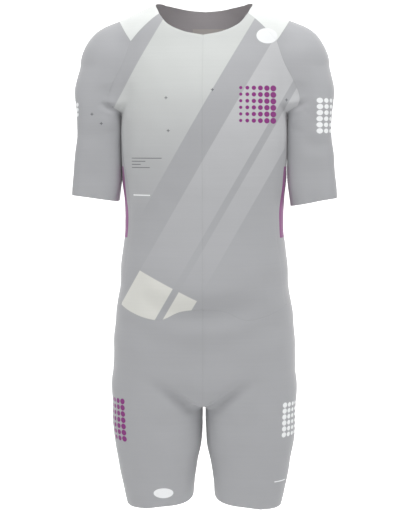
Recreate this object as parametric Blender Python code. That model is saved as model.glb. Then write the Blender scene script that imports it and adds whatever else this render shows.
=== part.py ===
"""A hollow cycling speed suit with half sleeves and thigh-length legs, as worn on a general figure.

Metres, +Z up. The front faces -Y and +X is the wearer's left. The origin lies midway between the two points
where the neckline crosses the shoulders, which is where the wearer holds the suit up.

All the cloth lies on one smooth form: a trunk, two arms and two thighs, joined softly. Each cut piece is a
grid of points between its seams, evened out on that form and given a wall on the inner side. Neighbours
share the points of their seam, and each stands back from it by half the seam gap.
"""

import bpy
import numpy as np

MM = 0.001

WALL = 1.6 * MM
SEAM_GAP = 0.3 * MM

# The form's level sections, from the top down, in millimetres. Each row gives height, inner side, outer
# side, front, middle, back and squareness. The trunk is symmetric, so its inner side is minus its outer
# side. A section is widest at the depth called middle. Squareness 2 is an ellipse, and more is boxier. A
# dome gives the heights of the rounded ends above the first row and below the last.
TRUNK = (
    (40, -58, 58, -50, 0, 50, 2.0),
    (0, -84, 84, -66, 0, 60, 2.0),
    (-10, -107, 107, -71, 0, 66, 2.0),
    (-20, -129, 129, -76, 0, 72, 2.0),
    (-32, -149, 149, -82, 0, 78, 2.1),
    (-50, -160, 160, -90, -2, 86, 2.2),
    (-80, -158, 158, -102, -6, 96, 2.3),
    (-120, -156, 156, -117, -12, 103, 2.4),
    (-160, -153, 153, -128, -16, 105, 2.4),
    (-210, -153, 153, -134, -20, 103, 2.4),
    (-270, -153, 153, -132, -22, 94, 2.4),
    (-330, -151, 151, -126, -20, 84, 2.3),
    (-400, -146, 146, -120, -18, 75, 2.3),
    (-440, -149, 149, -121, -18, 74, 2.3),
    (-480, -154, 154, -126, -18, 80, 2.3),
    (-530, -157, 157, -127, -16, 92, 2.3),
    (-575, -165, 165, -118, -12, 103, 2.3),
    (-610, -165, 165, -113, -8, 108, 2.3),
    (-660, -156, 156, -108, -4, 109, 2.2),
    (-676, -149, 149, -109, -3, 106, 2.1),
    (-692, -126, 126, -109, -2, 102, 2.0),
    (-714, -72, 72, -105, -2, 91, 2.0),
    (-735, -26, 26, -95, -4, 64, 2.0),
)
TRUNK_DOME = (1000, 8)
ARM = (
    (-118, 136, 231, -58, -4, 58, 2.0),
    (-158, 147, 239, -62, -20, 59, 2.4),
    (-200, 152, 235, -64, -34, 58, 2.9),
    (-240, 153, 233, -63, -36, 57, 2.9),
    (-275, 153, 237, -62, -36, 56, 2.9),
    (-320, 153, 241, -61, -36, 54, 2.9),
    (-400, 163, 248, -60, -36, 52, 2.8),
)
ARM_DOME = (62, 20)
THIGH = (
    (-640, 8, 161, -96, -22, 98, 2.2),
    (-700, 4, 172, -95, -24, 96, 2.3),
    (-750, 3, 170, -93, -28, 90, 2.4),
    (-790, 3, 169, -90, -28, 84, 2.4),
    (-820, 6, 165, -87, -28, 80, 2.4),
    (-855, 13, 159, -83, -26, 75, 2.3),
    (-885, 17, 154, -79, -24, 70, 2.3),
    (-930, 21, 144, -74, -22, 64, 2.2),
)
THIGH_DOME = (60, 1000)

# How far from each other two forms start to run together. At the armpit this ends, and below it the sleeve
# hangs clear of the trunk.
SHOULDER_BLEND = 46 * MM
HIP_BLEND = 26 * MM
CLEAR_BLEND = 0.5 * MM
ARMPIT_HEIGHTS = (-210 * MM, -184 * MM)
ARMPIT_PARTING = 50 * MM

# Points are seated on the form by steps down its gradient, of this length at most. The gradient's square is
# taken as no less than this, so that a step stays finite where two forms meet.
LONGEST_STEP = 20 * MM
LEAST_STEEP = 0.05
PROBE = 0.1 * MM

# Corners where seams meet, roughly, in millimetres on the wearer's left. The form seats them exactly.
CORNERS = {
    "neck centre front": (0, -94, -68),
    "neck yoke front": (76, -54, -33),
    "neck yoke back": (72, 30, -3),
    "neck centre back": (0, 58, -13.5),
    "armhole yoke front": (134, -70, -74),
    "armhole yoke back": (147, 52, -62),
    "underarm front": (159, -34, -206),
    "underarm middle": (156, -8, -203),
    "underarm back": (159, 26, -206),
    "waist centre front": (0, -122, -559),
    "waist side front": (147, -60, -555),
    "waist side back": (147, 45, -558),
    "waist centre back": (0, 98, -572),
    "crotch": (0, 0, -749),
    "hem inner": (21, -5, -904),
}

# Each seam or raw edge: its steps, then the corners and points that it runs through.
SEAMS = {
    "neck front": (4, "neck centre front", (35, -89, -61), (63, -76, -48), "neck yoke front"),
    "neck side": (6, "neck yoke front", (86, -28, -12), (86, 0, 0), "neck yoke back"),
    "neck back": (4, "neck yoke back", (57, 43, -6), (30, 54, -11), "neck centre back"),
    "yoke front": (4, "neck yoke front", (105, -64, -52), "armhole yoke front"),
    "yoke back": (4, "neck yoke back", (110, 45, -30), "armhole yoke back"),
    "armhole top": (
        6,
        "armhole yoke front",
        (148, -45, -50),
        (158, 0, -34),
        (156, 30, -44),
        "armhole yoke back",
    ),
    "armhole front": (
        8,
        "armhole yoke front",
        (150, -82, -112),
        (167, -80, -147),
        (175, -68, -176),
        (171, -52, -196),
        "underarm front",
    ),
    "armhole back": (
        8,
        "armhole yoke back",
        (156, 76, -108),
        (168, 72, -147),
        (174, 60, -176),
        (170, 44, -196),
        "underarm back",
    ),
    "underarm front": (2, "underarm front", "underarm middle"),
    "underarm back": (2, "underarm middle", "underarm back"),
    "side front": (
        13,
        "waist side front",
        (135, -65, -481),
        (128, -68, -400),
        (133, -70, -335),
        (142, -62, -280),
        (149, -50, -235),
        "underarm front",
    ),
    "side back": (
        13,
        "waist side back",
        (135, 50, -481),
        (128, 50, -400),
        (133, 52, -335),
        (142, 45, -280),
        (149, 34, -235),
        "underarm back",
    ),
    "waist front": (
        8,
        "waist centre front",
        (40, -120, -563),
        (77, -110, -577),
        (104, -95, -573),
        (129, -78, -564),
        "waist side front",
    ),
    "waist side": (4, "waist side front", (163, -10, -556), "waist side back"),
    "waist back": (8, "waist side back", (100, 82, -565), (50, 95, -570), "waist centre back"),
    "centre front": (21, "waist centre front", (0, -126, -400), (0, -132, -240), "neck centre front"),
    "rise front": (12, "crotch", (0, -52, -747), (0, -94, -730), (0, -108, -680), "waist centre front"),
    "rise back": (12, "crotch", (0, 45, -744), (0, 84, -708), (0, 112, -650), "waist centre back"),
    "inseam": (9, "hem inner", (18, -5, -881), (13, -5, -854), (6, -5, -823), (3, -3, -785), "crotch"),
    "hem": (
        20,
        "hem inner",
        (40, -48, -920),
        (82, -76, -927),
        (120, -52, -931),
        (141, -5, -928),
        (120, 42, -930),
        (82, 64, -926),
        (40, 38, -916),
        "hem inner",
    ),
}

# The cuffs hang at slightly different heights: the height at the inner side and at the outer side, in
# millimetres.
CUFFS = {"right": (-366, -353), "left": (-376, -356)}
BICEPS = (-240, -130)
SLEEVE_STEPS = 14
ARMHOLE = ("underarm front", "armhole front", "armhole top", "armhole back", "underarm back")

# A ring round the arm starts as this oval and is then seated on the arm: its centre and half sizes along X
# and Y.
RING_CENTRE = (204, 6)
RING_HALF = (44, 54)

# Seams are followed at this many points before they are stepped evenly.
DENSE = 241

# How each piece's grid is evened out: how many times, how much of the way a point goes each time, and the
# share of the rule that keeps lines from folding over, the rest being the rule that evens the lengths. The
# grid starts drawn to its side edges over SIDE_REACH of its width.
EVEN_PASSES = 200
EVEN_STEP = 0.5
UNFOLDING = 0.7
SIDE_REACH = 0.3

CREASE_ANGLE = 40
ROUGHNESS = 0.75
PALE = (0.70, 0.72, 0.71)
CHEST = (0.62, 0.64, 0.63)
GREY = (0.37, 0.37, 0.39)


def smooth_curve(known, values, wanted):
    """Values on smooth curves through the known rows: cubics whose slopes are the rows' differences."""
    slopes = np.gradient(values, known, axis=0)
    wanted = np.clip(wanted, known[0], known[-1])
    row = np.clip(np.searchsorted(known, wanted, side="right") - 1, 0, len(known) - 2)
    step = (known[row + 1] - known[row])[:, None]
    t = (wanted[:, None] - known[row][:, None]) / step
    start = (1 + 2 * t) * (1 - t) ** 2 * values[row] + t * (1 - t) ** 2 * step * slopes[row]
    end = t * t * (3 - 2 * t) * values[row + 1] - t * t * (1 - t) * step * slopes[row + 1]
    return start + end


def loft(points, table, dome):
    """About how far points lie outside a form of level sections, and less than 0 inside it.

    In a section, |x / half width|^n + |y / depth|^n is 1 on the surface. Past the first and last rows a
    third term closes the form as a dome, of the heights that dome gives.
    """
    rows = np.array(table[::-1], float)
    rows[:, :-1] *= MM
    x, y, z = points.T
    inner, outer, front, middle, back, power = smooth_curve(rows[:, 0], rows[:, 1:], z).T
    half = (outer - inner) / 2
    depth = np.where(y < middle, middle - front, back - middle)
    over = np.maximum(z - rows[-1, 0], 0) / (dome[0] * MM) + np.maximum(rows[0, 0] - z, 0) / (dome[1] * MM)
    across = np.abs(x - (outer + inner) / 2) / half
    through = np.abs(y - middle) / depth
    reach = (across**power + through**power + over**power + 1e-9) ** (1 / power)
    return (reach - 1) * np.minimum(half, (back - front) / 2)


def soft_union(first, second, blend):
    near = np.maximum(blend - np.abs(first - second), 0)
    return np.minimum(first, second) - near * near / (4 * blend)


def ramp(value, low, high):
    t = np.clip((value - low) / (high - low), 0, 1)
    return t * t * (3 - 2 * t)


def form(points, part="whole"):
    """The whole form. Below the armpit, part "trunk" leaves out the arms and "arm" leaves out the trunk."""
    sided = np.column_stack((np.abs(points[:, 0]), points[:, 1:]))
    trunk = loft(sided, TRUNK, TRUNK_DOME)
    arm = loft(sided, ARM, ARM_DOME)
    low, high = ARMPIT_HEIGHTS
    below = ARMPIT_PARTING * (1 - ramp(points[:, 2], low - (high - low), low))
    if part == "trunk":
        arm = arm + below
    if part == "arm":
        trunk = trunk + below
    blend = CLEAR_BLEND + (SHOULDER_BLEND - CLEAR_BLEND) * ramp(points[:, 2], low, high)
    return soft_union(soft_union(trunk, arm, blend), loft(sided, THIGH, THIGH_DOME), HIP_BLEND)


def slope(points, part):
    """The form's value at points, and its gradient by differences between points PROBE to each side."""
    shifts = np.repeat(np.eye(3), 2, axis=0) * PROBE * np.array([1, -1, 1, -1, 1, -1])[:, None]
    around = (points[None] + shifts[:, None]).reshape(-1, 3)
    values = form(around, part).reshape(6, -1)
    return form(points, part), ((values[0::2] - values[1::2]) / (2 * PROBE)).T


def seat(points, part="whole", passes=6):
    """Points moved straight on to the form, by steps along its gradient."""
    for _ in range(passes):
        value, gradient = slope(points, part)
        steep = np.maximum((gradient**2).sum(axis=1), LEAST_STEEP)
        points = points - np.clip(value / steep, -LONGEST_STEP, LONGEST_STEP)[:, None] * gradient
    return points


def outward(points, part):
    gradient = slope(points, part)[1]
    return gradient / np.linalg.norm(gradient, axis=1)[:, None]


def spread(curve, steps):
    """The curve's points at equal distances along it."""
    run = np.r_[0, np.cumsum(np.linalg.norm(np.diff(curve, axis=0), axis=1))]
    wanted = np.linspace(0, run[-1], steps + 1)
    return np.column_stack([np.interp(wanted, run, curve[:, axis]) for axis in range(3)])


def seam_line(through, steps, part="whole"):
    """A smooth line through rough points, seated on the form and evenly stepped."""
    rough = np.array([CORNERS[place] if isinstance(place, str) else place for place in through], float) * MM
    run = np.r_[0, np.cumsum(np.linalg.norm(np.diff(rough, axis=0), axis=1))]
    dense = smooth_curve(run, rough, np.linspace(0, run[-1], DENSE))
    return seat(spread(seat(dense, part), steps), part, 2)


def all_seams():
    """Every seam's points by name. The side seams run behind the arms, on the trunk."""
    return {
        name: seam_line(through, steps, "trunk" if name.startswith("side") else "whole")
        for name, (steps, *through) in SEAMS.items()
    }


def joined(*lines):
    """Lines end to end, each given as it runs, without their shared points twice."""
    return np.concatenate([line[:-1] for line in lines[:-1]] + [lines[-1]])


def evened(grid):
    """Where each inner point would go for an even grid, from the points around it.

    Two rules are mixed. In one, across and up second differences are weighted by the other way's length, less
    the skew, which keeps the lines from folding over round an inward corner. The other is the mean of the four
    neighbours, each weighted by its distance.
    """
    inner = grid[1:-1, 1:-1]
    near = below, above, before, after = grid[:-2, 1:-1], grid[2:, 1:-1], grid[1:-1, :-2], grid[1:-1, 2:]
    up, across = (above - below) / 2, (after - before) / 2
    skewed = grid[2:, 2:] - grid[2:, :-2] - grid[:-2, 2:] + grid[:-2, :-2]
    pairs = (up, up), (across, across), (up, across)
    tall, wide, skew = ((a * b).sum(axis=-1, keepdims=True) for a, b in pairs)
    unfolded = (tall * (before + after) + wide * (below + above) - skew * skewed / 2) / (2 * (tall + wide))
    pulls = [np.linalg.norm(point - inner, axis=-1, keepdims=True) for point in near]
    levelled = sum(pull * point for pull, point in zip(pulls, near)) / sum(pulls)
    return UNFOLDING * unfolded + (1 - UNFOLDING) * levelled


def patch(bottom, top, left, right, part, between=None):
    """A grid between four edges that share their corners, evened out on the form.

    It starts as a blend of the bottom and top edges, by way of a line between them where one is given, and
    is drawn to the left and right edges near them. Then its inner points are evened out and go back on to
    the form, again and again.
    """
    up = np.linspace(0, 1, len(left))[:, None, None]
    across = np.linspace(0, 1, len(bottom))[None, :, None]
    if between is None:
        between = (bottom + top) / 2
    low, high = (1 - 2 * up) * bottom + 2 * up * between, (2 - 2 * up) * between + (2 * up - 1) * top
    grid = np.where(up < 0.5, low, high)
    near_left = np.clip(1 - across / SIDE_REACH, 0, 1) ** 2
    near_right = np.clip(1 - (1 - across) / SIDE_REACH, 0, 1) ** 2
    grid = grid + near_left * (left - grid[:, 0])[:, None] + near_right * (right - grid[:, -1])[:, None]
    inside = grid[1:-1, 1:-1]
    for _ in range(EVEN_PASSES):
        moved = inside + (evened(grid) - inside) * EVEN_STEP
        inside[:] = seat(moved.reshape(-1, 3), part, 1).reshape(moved.shape)
    inside[:] = seat(inside.reshape(-1, 3), part, 3).reshape(inside.shape)
    return grid


def stand_back(grid, normals):
    """The grid with each edge moved in along the cloth by half the seam gap, square to the edge."""
    moved = grid.copy()
    every = slice(None)
    for edge, inside in (((0,), (1,)), ((-1,), (-2,)), ((every, 0), (every, 1)), ((every, -1), (every, -2))):
        along = np.gradient(grid[edge], axis=0)
        square = np.cross(normals[edge], along)
        square /= np.linalg.norm(square, axis=1)[:, None]
        facing = np.sign((square * (grid[inside] - grid[edge])).sum(axis=1))[:, None]
        moved[edge] += square * facing * SEAM_GAP / 2
    return moved


def material(name, colour):
    made = bpy.data.materials.new(name)
    made.use_nodes = True
    surface = made.node_tree.nodes["Principled BSDF"]
    surface.inputs["Base Color"].default_value = (*colour, 1)
    surface.inputs["Roughness"].default_value = ROUGHNESS
    surface.inputs["Metallic"].default_value = 0
    return made


def halved(points, cells):
    """Each four-cornered cell as two triangles, cut along its shorter diagonal, mirrored cells alike."""
    first, second, third, fourth = cells.T
    one, other = points[third] - points[first], points[fourth] - points[second]
    cut = np.linalg.norm(one, axis=1) <= np.linalg.norm(other, axis=1)
    halves = (first, second, np.where(cut, third, fourth)), (np.where(cut, first, second), third, fourth)
    return np.concatenate([np.column_stack(half) for half in halves])


def cloth(name, grid, part, colour):
    """One cut piece: the grid as the outer face, a wall inside it, and rims round its edges."""
    count = grid.shape[0] * grid.shape[1]
    normals = outward(grid.reshape(-1, 3), part).reshape(grid.shape)
    row, column = grid.shape[0] // 2, grid.shape[1] // 2
    here = grid[row, column]
    if np.cross(grid[row, column + 1] - here, grid[row + 1, column] - here) @ normals[row, column] < 0:
        grid, normals = grid[:, ::-1], normals[:, ::-1]
    grid = stand_back(grid, normals)
    points = np.concatenate([grid.reshape(-1, 3), (grid - WALL * normals).reshape(-1, 3)])
    index = np.arange(count).reshape(grid.shape[:2])
    cells = np.stack([index[:-1, :-1], index[:-1, 1:], index[1:, 1:], index[1:, :-1]], axis=-1).reshape(-1, 4)
    outer = halved(points, cells)
    rim = np.concatenate([index[0, :-1], index[:-1, -1], index[-1, :0:-1], index[:0:-1, 0]])
    after = np.roll(rim, -1)
    rims = halved(points, np.column_stack((rim, rim + count, after + count, after)))
    faces = np.concatenate([outer, outer[:, ::-1] + count, rims])
    mesh = bpy.data.meshes.new(name)
    mesh.from_pydata(points.tolist(), [], faces.tolist())
    mesh.shade_smooth()
    mesh.set_sharp_from_angle(angle=np.radians(CREASE_ANGLE))
    mesh.materials.append(material(name + " cloth", colour))
    bpy.context.scene.collection.objects.link(bpy.data.objects.new(name, mesh))


def on_side(line, side):
    return line * (side, 1, 1)


def arm_ring(inner_height, outer_height):
    """A line round the arm that slopes from side to side, from the inner side round the front."""
    turn = np.linspace(0, 2 * np.pi, DENSE)
    across, through = -np.cos(turn), -np.sin(turn)
    height = (inner_height + outer_height) / 2 + (outer_height - inner_height) / 2 * across
    x, y = RING_CENTRE[0] + RING_HALF[0] * across, RING_CENTRE[1] + RING_HALF[1] * through
    rough = np.column_stack((x, y, height))
    steps = sum(SEAMS[name][0] for name in ARMHOLE)
    return seat(spread(seat(rough * MM, "arm"), steps), "arm", 2)


def sleeve_grid(lines, heights):
    """The armhole runs round from the underarm's middle: its first two seams and its last run backwards."""
    front, back = ARMHOLE[:2], ARMHOLE[-1:]
    armhole = joined(*(lines[name][::-1] if name in front + back else lines[name] for name in ARMHOLE))
    cuff = arm_ring(*heights)
    t = np.linspace(0, 1, DENSE)[:, None]
    inner = cuff[0] * (1 - t) + armhole[0] * t
    underarm = seat(spread(seat(inner, "arm"), SLEEVE_STEPS), "arm", 2)
    underarm[0], underarm[-1] = cuff[0], armhole[0]
    return patch(cuff, armhole, underarm, underarm, "arm", arm_ring(*BICEPS))


def leg_grid(lines):
    waist = joined(lines["waist front"], lines["waist side"], lines["waist back"])
    front = joined(lines["inseam"], lines["rise front"])
    back = joined(lines["inseam"], lines["rise back"])
    return patch(lines["hem"], waist, front, back, "trunk")


def front_grid(lines):
    top = joined(lines["neck front"], lines["yoke front"])
    side = joined(lines["side front"], lines["armhole front"][::-1])
    return patch(lines["waist front"], top, lines["centre front"], side, "trunk")


def side_grid(lines):
    top = joined(lines["underarm front"], lines["underarm back"])
    return patch(lines["waist side"], top, lines["side front"], lines["side back"], "trunk")


def yoke_grid(lines):
    return patch(lines["yoke front"], lines["yoke back"], lines["neck side"], lines["armhole top"], "whole")


def back_grid(lines):
    top = joined(lines["yoke back"][::-1], lines["neck back"])
    side = joined(lines["side back"], lines["armhole back"][::-1])
    bottom = joined(lines["waist back"], on_side(lines["waist back"][::-1], -1))
    return patch(bottom, joined(top, on_side(top[::-1], -1)), side, on_side(side, -1), "trunk")


def build():
    for old in list(bpy.data.objects):
        bpy.data.objects.remove(old, do_unlink=True)
    lines = all_seams()
    front, flank, yoke, leg = front_grid(lines), side_grid(lines), yoke_grid(lines), leg_grid(lines)
    for name, side in (("right", -1), ("left", 1)):
        cloth("front_" + name, on_side(front, side), "trunk", CHEST)
        cloth("side_" + name, on_side(flank, side), "trunk", GREY)
        cloth("yoke_" + name, on_side(yoke, side), "whole", PALE)
        cloth("sleeve_" + name, on_side(sleeve_grid(lines, CUFFS[name]), side), "arm", GREY)
        cloth("leg_" + name, on_side(leg, side), "trunk", GREY)
    cloth("back", back_grid(lines), "trunk", GREY)


build()
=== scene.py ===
"""Dresses a cycling speed suit: thin knit panels with creases, sewing and print, a stage and a camera.

Metres, +Z up. The front faces -Y and +X is the wearer's left. The panels lie on the same smooth form as
the CAD solids, from the same tables, at a finer step.
"""

import math

import bpy
import numpy as np
from bpy.props import FloatProperty, FloatVectorProperty, IntProperty, PointerProperty
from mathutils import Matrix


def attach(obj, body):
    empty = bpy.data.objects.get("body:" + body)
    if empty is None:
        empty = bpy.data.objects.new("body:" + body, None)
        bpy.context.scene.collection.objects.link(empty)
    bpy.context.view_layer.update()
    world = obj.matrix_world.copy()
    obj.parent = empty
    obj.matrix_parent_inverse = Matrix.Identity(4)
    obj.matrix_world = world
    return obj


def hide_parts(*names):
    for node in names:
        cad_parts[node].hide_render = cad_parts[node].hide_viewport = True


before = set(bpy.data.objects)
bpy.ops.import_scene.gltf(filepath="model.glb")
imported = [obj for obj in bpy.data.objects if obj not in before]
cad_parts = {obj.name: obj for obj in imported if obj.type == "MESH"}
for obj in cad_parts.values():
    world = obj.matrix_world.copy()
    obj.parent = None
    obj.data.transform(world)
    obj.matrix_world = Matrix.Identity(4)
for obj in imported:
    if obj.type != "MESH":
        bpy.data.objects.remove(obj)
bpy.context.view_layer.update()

bl_info = {
    "name": "Cycling speed suit",
    "version": (1, 0, 0),
    "blender": (4, 5, 0),
    "location": "View3D > Sidebar > Speed suit",
    "description": "Builds the panels of a cycling speed suit and the stage that shows it",
    "category": "Object",
}

MM = 0.001

# The form's level sections, from the top down, in millimetres. Each row gives height, inner side, outer
# side, front, middle, back and squareness. A section is widest at the depth called middle. Squareness 2 is
# an ellipse, and more is boxier. A dome gives the heights of the rounded ends above the first row and below
# the last.
TRUNK = (
    (40, -58, 58, -50, 0, 50, 2.0),
    (0, -84, 84, -66, 0, 60, 2.0),
    (-10, -107, 107, -71, 0, 66, 2.0),
    (-20, -129, 129, -76, 0, 72, 2.0),
    (-32, -149, 149, -82, 0, 78, 2.1),
    (-50, -160, 160, -90, -2, 86, 2.2),
    (-80, -158, 158, -102, -6, 96, 2.3),
    (-120, -156, 156, -117, -12, 103, 2.4),
    (-160, -153, 153, -128, -16, 105, 2.4),
    (-210, -153, 153, -134, -20, 103, 2.4),
    (-270, -153, 153, -132, -22, 94, 2.4),
    (-330, -151, 151, -126, -20, 84, 2.3),
    (-400, -146, 146, -120, -18, 75, 2.3),
    (-440, -149, 149, -121, -18, 74, 2.3),
    (-480, -154, 154, -126, -18, 80, 2.3),
    (-530, -157, 157, -127, -16, 92, 2.3),
    (-575, -165, 165, -118, -12, 103, 2.3),
    (-610, -165, 165, -113, -8, 108, 2.3),
    (-660, -156, 156, -108, -4, 109, 2.2),
    (-676, -149, 149, -109, -3, 106, 2.1),
    (-692, -126, 126, -109, -2, 102, 2.0),
    (-714, -72, 72, -105, -2, 91, 2.0),
    (-735, -26, 26, -95, -4, 64, 2.0),
)
TRUNK_DOME = (1000, 8)
ARM = (
    (-118, 136, 231, -58, -4, 58, 2.0),
    (-158, 147, 239, -62, -20, 59, 2.4),
    (-200, 152, 235, -64, -34, 58, 2.9),
    (-240, 153, 233, -63, -36, 57, 2.9),
    (-275, 153, 237, -62, -36, 56, 2.9),
    (-320, 153, 241, -61, -36, 54, 2.9),
    (-400, 163, 248, -60, -36, 52, 2.8),
)
ARM_DOME = (62, 20)
THIGH = (
    (-640, 8, 161, -96, -22, 98, 2.2),
    (-700, 4, 172, -95, -24, 96, 2.3),
    (-750, 3, 170, -93, -28, 90, 2.4),
    (-790, 3, 169, -90, -28, 84, 2.4),
    (-820, 6, 165, -87, -28, 80, 2.4),
    (-855, 13, 159, -83, -26, 75, 2.3),
    (-885, 17, 154, -79, -24, 70, 2.3),
    (-930, 21, 144, -74, -22, 64, 2.2),
)
THIGH_DOME = (60, 1000)

SHOULDER_BLEND = 46 * MM
HIP_BLEND = 26 * MM
CLEAR_BLEND = 0.5 * MM
ARMPIT_HEIGHTS = (-210 * MM, -184 * MM)
ARMPIT_PARTING = 50 * MM
LONGEST_STEP = 20 * MM
LEAST_STEEP = 0.05
PROBE = 0.1 * MM

# Corners where seams meet, roughly, in millimetres on the wearer's left.
CORNERS = {
    "neck centre front": (0, -94, -68),
    "neck yoke front": (76, -54, -33),
    "neck yoke back": (72, 30, -3),
    "neck centre back": (0, 58, -13.5),
    "armhole yoke front": (134, -70, -74),
    "armhole yoke back": (147, 52, -62),
    "underarm front": (159, -34, -206),
    "underarm middle": (156, -8, -203),
    "underarm back": (159, 26, -206),
    "waist centre front": (0, -122, -559),
    "waist side front": (147, -60, -555),
    "waist side back": (147, 45, -558),
    "waist centre back": (0, 98, -572),
    "crotch": (0, 0, -749),
    "hem inner": (21, -5, -904),
}

# Each seam or raw edge: its steps, then the corners and points that it runs through.
SEAMS = {
    "neck front": (4, "neck centre front", (35, -89, -61), (63, -76, -48), "neck yoke front"),
    "neck side": (6, "neck yoke front", (86, -28, -12), (86, 0, 0), "neck yoke back"),
    "neck back": (4, "neck yoke back", (57, 43, -6), (30, 54, -11), "neck centre back"),
    "yoke front": (4, "neck yoke front", (105, -64, -52), "armhole yoke front"),
    "yoke back": (4, "neck yoke back", (110, 45, -30), "armhole yoke back"),
    "armhole top": (
        6, "armhole yoke front", (148, -45, -50), (158, 0, -34), (156, 30, -44), "armhole yoke back",
    ),
    "armhole front": (
        8, "armhole yoke front", (150, -82, -112), (167, -80, -147), (175, -68, -176), (171, -52, -196),
        "underarm front",
    ),
    "armhole back": (
        8, "armhole yoke back", (156, 76, -108), (168, 72, -147), (174, 60, -176), (170, 44, -196),
        "underarm back",
    ),
    "underarm front": (2, "underarm front", "underarm middle"),
    "underarm back": (2, "underarm middle", "underarm back"),
    "side front": (
        13, "waist side front", (135, -65, -481), (128, -68, -400), (133, -70, -335), (142, -62, -280),
        (149, -50, -235), "underarm front",
    ),
    "side back": (
        13, "waist side back", (135, 50, -481), (128, 50, -400), (133, 52, -335), (142, 45, -280),
        (149, 34, -235), "underarm back",
    ),
    "waist front": (
        8, "waist centre front", (40, -120, -563), (77, -110, -577), (104, -95, -573), (129, -78, -564),
        "waist side front",
    ),
    "waist side": (4, "waist side front", (163, -10, -556), "waist side back"),
    "waist back": (8, "waist side back", (100, 82, -565), (50, 95, -570), "waist centre back"),
    "centre front": (21, "waist centre front", (0, -126, -400), (0, -132, -240), "neck centre front"),
    "rise front": (12, "crotch", (0, -52, -747), (0, -94, -730), (0, -108, -680), "waist centre front"),
    "rise back": (12, "crotch", (0, 45, -744), (0, 84, -708), (0, 112, -650), "waist centre back"),
    "inseam": (9, "hem inner", (18, -5, -881), (13, -5, -854), (6, -5, -823), (3, -3, -785), "crotch"),
    "hem": (
        20, "hem inner", (40, -48, -920), (82, -76, -927), (120, -52, -931), (141, -5, -928),
        (120, 42, -930), (82, 64, -926), (40, 38, -916), "hem inner",
    ),
}

CUFFS = {"right": (-366, -353), "left": (-376, -356)}
BICEPS = (-240, -130)
SLEEVE_STEPS = 14
ARMHOLE = ("underarm front", "armhole front", "armhole top", "armhole back", "underarm back")
RING_CENTRE = (204, 6)
RING_HALF = (44, 54)
DENSE = 961
EVEN_PASSES = 200
FINE_PASSES = 6
EVEN_STEP = 0.5
UNFOLDING = 0.7
SIDE_REACH = 0.3

# A crease's line has CREASE_POINTS points. The ridges beside its trough lie RIDGE_PLACE half widths from its
# middle, and nothing past CREASE_REACH half widths moves. On the wearer's right it lies a little lower.
CREASE_POINTS = 25
RIDGE_PLACE = 1.9
CREASE_REACH = 3.5
LOWER_ON_RIGHT = 4 * MM

# Creases in millimetres on the wearer's left: the pieces they are on, the sides, the depth of the trough
# (less than 0 is a ridge), its half width, the height of the soft ridges beside it, and the points that it
# runs through.
CREASES = (
    ("", "both", 3.0, 5, 1.4, (190, -64, -182), (180, -66, -188), (171, -70, -196), (162, -76, -206)),
    ("", "both", 3.6, 17, 0.0, (176, -68, -146), (172, -70, -168), (167, -71, -192), (160, -76, -212)),
    ("sleeve", "both", -2.4, 14, 0.0, (186, -66, -202), (174, -66, -216), (168, -62, -236)),
    ("", "both", 3.4, 6, 1.8, (181, 54, -182), (168, 66, -192), (154, 80, -200), (138, 90, -206)),
    ("", "left", 2.2, 11, 1.0, (172, 70, -160), (150, 88, -152), (122, 98, -158)),
    ("sleeve", "right", 1.4, 13, 0.8, (176, -50, -236), (202, -60, -244), (230, -40, -240)),
    ("sleeve", "left", 1.4, 13, 0.7, (178, -50, -250), (206, -60, -262), (232, -40, -256)),
    ("sleeve", "both", 1.0, 15, 0.6, (172, -44, -300), (198, -58, -312), (228, -44, -306)),
    ("sleeve", "both", 2.6, 9, 1.4, (168, 44, -214), (192, 62, -226), (220, 54, -222)),
    ("sleeve", "both", 1.8, 12, 1.0, (170, 48, -262), (198, 62, -274), (228, 44, -268)),
    ("", "both", 5.6, 20, 2.2, (116, -92, -538), (76, -110, -552), (36, -120, -560), (-8, -122, -561),
     (-40, -120, -560)),
    ("", "right", 1.6, 12, 0.8, (112, -92, -530), (84, -106, -541), (54, -118, -545)),
    ("", "both", 1.0, 16, 0.4, (138, -60, -520), (118, -86, -512), (92, -104, -516)),
    ("", "both", 6.5, 10, 0.8, (88, -98, -694), (62, -97, -709), (38, -91, -727), (16, -83, -742),
     (-8, -78, -747)),
    ("", "both", 2.2, 4, 0.0, (4, -82, -741), (12, -84, -745), (22, -86, -742)),
    ("leg", "both", 1.2, 15, 0.6, (20, -84, -762), (58, -92, -776), (98, -88, -770)),
    ("", "both", 3.2, 9, 1.6, (8, 92, -700), (36, 96, -716), (72, 92, -716), (104, 82, -706)),
    ("", "right", 1.8, 12, 1.0, (14, 108, -668), (44, 108, -676), (78, 104, -670)),
    ("leg", "both", 1.6, 14, 0.8, (34, 82, -760), (74, 86, -770), (118, 70, -762)),
    ("back", "both", 2.4, 14, 1.2, (128, 54, -428), (84, 72, -436), (36, 76, -430)),
    ("back", "right", 2.2, 12, 1.2, (120, 60, -462), (78, 76, -474), (30, 80, -470)),
    ("back", "left", 2.0, 13, 1.0, (118, 60, -400), (80, 76, -402), (40, 80, -396)),
    ("back", "both", 1.6, 16, 0.8, (110, 84, -236), (78, 94, -282), (60, 90, -332)),
    ("side", "both", 1.4, 13, 0.8, (148, -34, -430), (150, -6, -424), (148, 22, -430)),
    ("side", "both", 1.2, 13, 0.6, (150, -30, -352), (152, -4, -346), (150, 24, -350)),
)

# The cloth's slow unevenness, the dip at a seam, how far in a raw edge is rounded and by what share of the
# thickness, and the angle of sharp edges.
UNEVEN_DEPTH = 0.32 * MM
UNEVEN_LENGTH = 11 * MM
DIP_WIDTH = 2.2 * MM
ROUNDED = 0.8 * MM
ROUNDED_SHARE = 0.3
SHARP_ANGLE = math.radians(50)

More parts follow.
